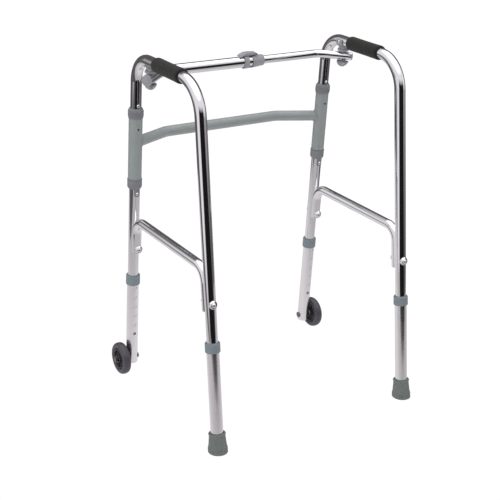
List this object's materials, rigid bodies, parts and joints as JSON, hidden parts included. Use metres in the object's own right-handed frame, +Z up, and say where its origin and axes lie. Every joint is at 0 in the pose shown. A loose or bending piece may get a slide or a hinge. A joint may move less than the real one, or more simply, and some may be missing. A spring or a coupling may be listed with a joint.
{
  "type": "folding walking frame",
  "caption": "Folding aluminium walking frame with side frames hinged on a bowed crossbar, a telescoping latched top bar, adjustable legs, front wheels and rubber rear tips.",
  "frame": {"origin": "middle of the footprint, on the floor", "axes": "+Z up, +Y forward towards the wheels, +X to the user's right"},
  "size_m": [0.6132, 0.4976, 0.828],
  "materials": {
    "grey_paint": "satin grey powder coat",
    "polished_aluminium": "polished, clear anodised",
    "satin_aluminium": "satin anodised",
    "foam_grip": "closed-cell foam",
    "tip_rubber": "moulded grey rubber",
    "tyre_rubber": "solid grey tyre",
    "hub_plastic": "moulded",
    "bush_nylon": "nylon bush",
    "button_steel": "plated",
    "spring_steel": "spring strip",
    "collar_plastic": "moulded blue-grey",
    "bush_plastic": "moulded dark grey",
    "grey_plastic": "moulded mid grey",
    "axle_steel": "zinc plated",
    "bright_steel": "bright plated"
  },
  "bodies": {
    "front_frame": {"crossbar": "grey_paint", "hinge_sleeves": "grey_paint"},
    "left_side_frame": {"left_side_tube": "polished_aluminium", "left_grip": "foam_grip", "left_side_brace": "polished_aluminium", "left_upper_bush": "bush_plastic", "left_lower_bush": "bush_plastic", "left_frame_screws": "bright_steel", "left_brace_bolts": "bright_steel", "left_brace_washers": "bright_steel", "left_brace_nuts": "bright_steel", "left_bar_bracket": "grey_plastic", "left_button_springs": "spring_steel", "left_bar_bolt": "bright_steel"},
    "right_side_frame": {"right_side_tube": "polished_aluminium", "right_grip": "foam_grip", "right_side_brace": "polished_aluminium", "right_upper_bush": "bush_plastic", "right_lower_bush": "bush_plastic", "right_frame_screws": "bright_steel", "right_brace_bolts": "bright_steel", "right_brace_washers": "bright_steel", "right_brace_nuts": "bright_steel", "right_bar_bracket": "grey_plastic", "right_button_springs": "spring_steel"},
    "left_bar": {"left_bar_tube": "polished_aluminium", "left_bar_end_cap": "grey_plastic", "latch_body": "grey_plastic", "latch_pin": "bright_steel"},
    "right_bar": {"right_bar_tube": "polished_aluminium", "right_bar_end_cap": "grey_plastic", "right_bar_bolt": "bright_steel"},
    "latch_lever": {"latch_lever": "grey_plastic"},
    "left_bar_knob": {"left_bar_knob": "grey_plastic"},
    "right_bar_knob": {"right_bar_knob": "grey_plastic"},
    "left_front_leg": {"left_front_leg_tube": "satin_aluminium", "left_front_leg_collar": "collar_plastic", "left_axle_bolt": "axle_steel", "left_axle_nut_and_washers": "axle_steel"},
    "left_front_snap_button": {"left_front_snap_button": "button_steel"},
    "left_rear_leg": {"left_rear_leg_tube": "satin_aluminium", "left_rear_leg_collar": "collar_plastic", "left_rear_tip": "tip_rubber"},
    "left_rear_snap_button": {"left_rear_snap_button": "button_steel"},
    "left_wheel": {"left_wheel_tyre": "tyre_rubber", "left_wheel_hub": "hub_plastic", "left_wheel_bush": "bush_nylon"},
    "right_front_leg": {"right_front_leg_tube": "satin_aluminium", "right_front_leg_collar": "collar_plastic", "right_axle_bolt": "axle_steel", "right_axle_nut_and_washers": "axle_steel"},
    "right_front_snap_button": {"right_front_snap_button": "button_steel"},
    "right_rear_leg": {"right_rear_leg_tube": "satin_aluminium", "right_rear_leg_collar": "collar_plastic", "right_rear_tip": "tip_rubber"},
    "right_rear_snap_button": {"right_rear_snap_button": "button_steel"},
    "right_wheel": {"right_wheel_tyre": "tyre_rubber", "right_wheel_hub": "hub_plastic", "right_wheel_bush": "bush_nylon"}
  },
  "joints": [
    {"name": "left_fold", "type": "hinge", "parent": "front_frame", "child": "left_side_frame", "pos_m": [-0.258, 0.1729, 0.6], "axis": [0, -0.0639, 0.998], "range_deg": [0, 86]},
    {"name": "right_fold", "type": "hinge", "parent": "front_frame", "child": "right_side_frame", "pos_m": [0.258, 0.1729, 0.6], "axis": [0, -0.0639, 0.998], "range_deg": [-59, 0]},
    {"name": "left_bar_pivot", "type": "hinge", "parent": "left_side_frame", "child": "left_bar", "pos_m": [-0.258, 0.09158, 0.77507], "axis": [0, -0.0639, 0.998], "range_deg": [-91, 0]},
    {"name": "bar_telescope", "type": "slide", "parent": "left_bar", "child": "right_bar", "axis": [-1, 0, 0], "range_m": [0, 0.135]},
    {"name": "latch_lever_lift", "type": "hinge", "parent": "left_bar", "child": "latch_lever", "pos_m": [0.031, 0.12835, 0.79546], "axis": [0, 0.998, 0.0639], "range_deg": [0, 95]},
    {"name": "left_knob_turn", "type": "hinge", "parent": "left_side_frame", "child": "left_bar_knob", "pos_m": [-0.258, 0.09158, 0.77507], "axis": [0, -0.0639, 0.998], "range_deg": [0, 360]},
    {"name": "right_knob_turn", "type": "hinge", "parent": "right_bar", "child": "right_bar_knob", "pos_m": [0.258, 0.09158, 0.77507], "axis": [0, -0.0639, 0.998], "range_deg": [0, 360]},
    {"name": "left_front_leg_slide", "type": "slide", "parent": "left_side_frame", "child": "left_front_leg", "axis": [0, 0.0639, -0.998], "range_m": [0, 0.127]},
    {"name": "left_front_button_press", "type": "slide", "parent": "left_side_frame", "child": "left_front_snap_button", "axis": [0, 0.998, 0.0639], "range_m": [0, 0.003], "stiffness_N_per_m": 600},
    {"name": "left_rear_leg_slide", "type": "slide", "parent": "left_side_frame", "child": "left_rear_leg", "axis": [0, -0.1231, -0.9924], "range_m": [0, 0.127]},
    {"name": "left_rear_button_press", "type": "slide", "parent": "left_side_frame", "child": "left_rear_snap_button", "axis": [0, -0.9924, 0.1231], "range_m": [0, 0.003], "stiffness_N_per_m": 600},
    {"name": "left_wheel_spin", "type": "hinge", "parent": "left_front_leg", "child": "left_wheel", "pos_m": [-0.2865, 0.20874, 0.04], "axis": [1, 0, 0], "continuous": true},
    {"name": "right_front_leg_slide", "type": "slide", "parent": "right_side_frame", "child": "right_front_leg", "axis": [0, 0.0639, -0.998], "range_m": [0, 0.127]},
    {"name": "right_front_button_press", "type": "slide", "parent": "right_side_frame", "child": "right_front_snap_button", "axis": [0, 0.998, 0.0639], "range_m": [0, 0.003], "stiffness_N_per_m": 600},
    {"name": "right_rear_leg_slide", "type": "slide", "parent": "right_side_frame", "child": "right_rear_leg", "axis": [0, -0.1231, -0.9924], "range_m": [0, 0.127]},
    {"name": "right_rear_button_press", "type": "slide", "parent": "right_side_frame", "child": "right_rear_snap_button", "axis": [0, -0.9924, 0.1231], "range_m": [0, 0.003], "stiffness_N_per_m": 600},
    {"name": "right_wheel_spin", "type": "hinge", "parent": "right_front_leg", "child": "right_wheel", "pos_m": [0.2865, 0.20874, 0.04], "axis": [1, 0, 0], "continuous": true}
  ],
  "couplings": [
    {"joint": "right_fold", "follows": "left_fold", "ratio": -0.68},
    {"joint": "left_bar_pivot", "follows": "left_fold", "ratio": -1.0545},
    {"joint": "bar_telescope", "follows": "left_fold", "m_per_rad": 0.085382}
  ]
}
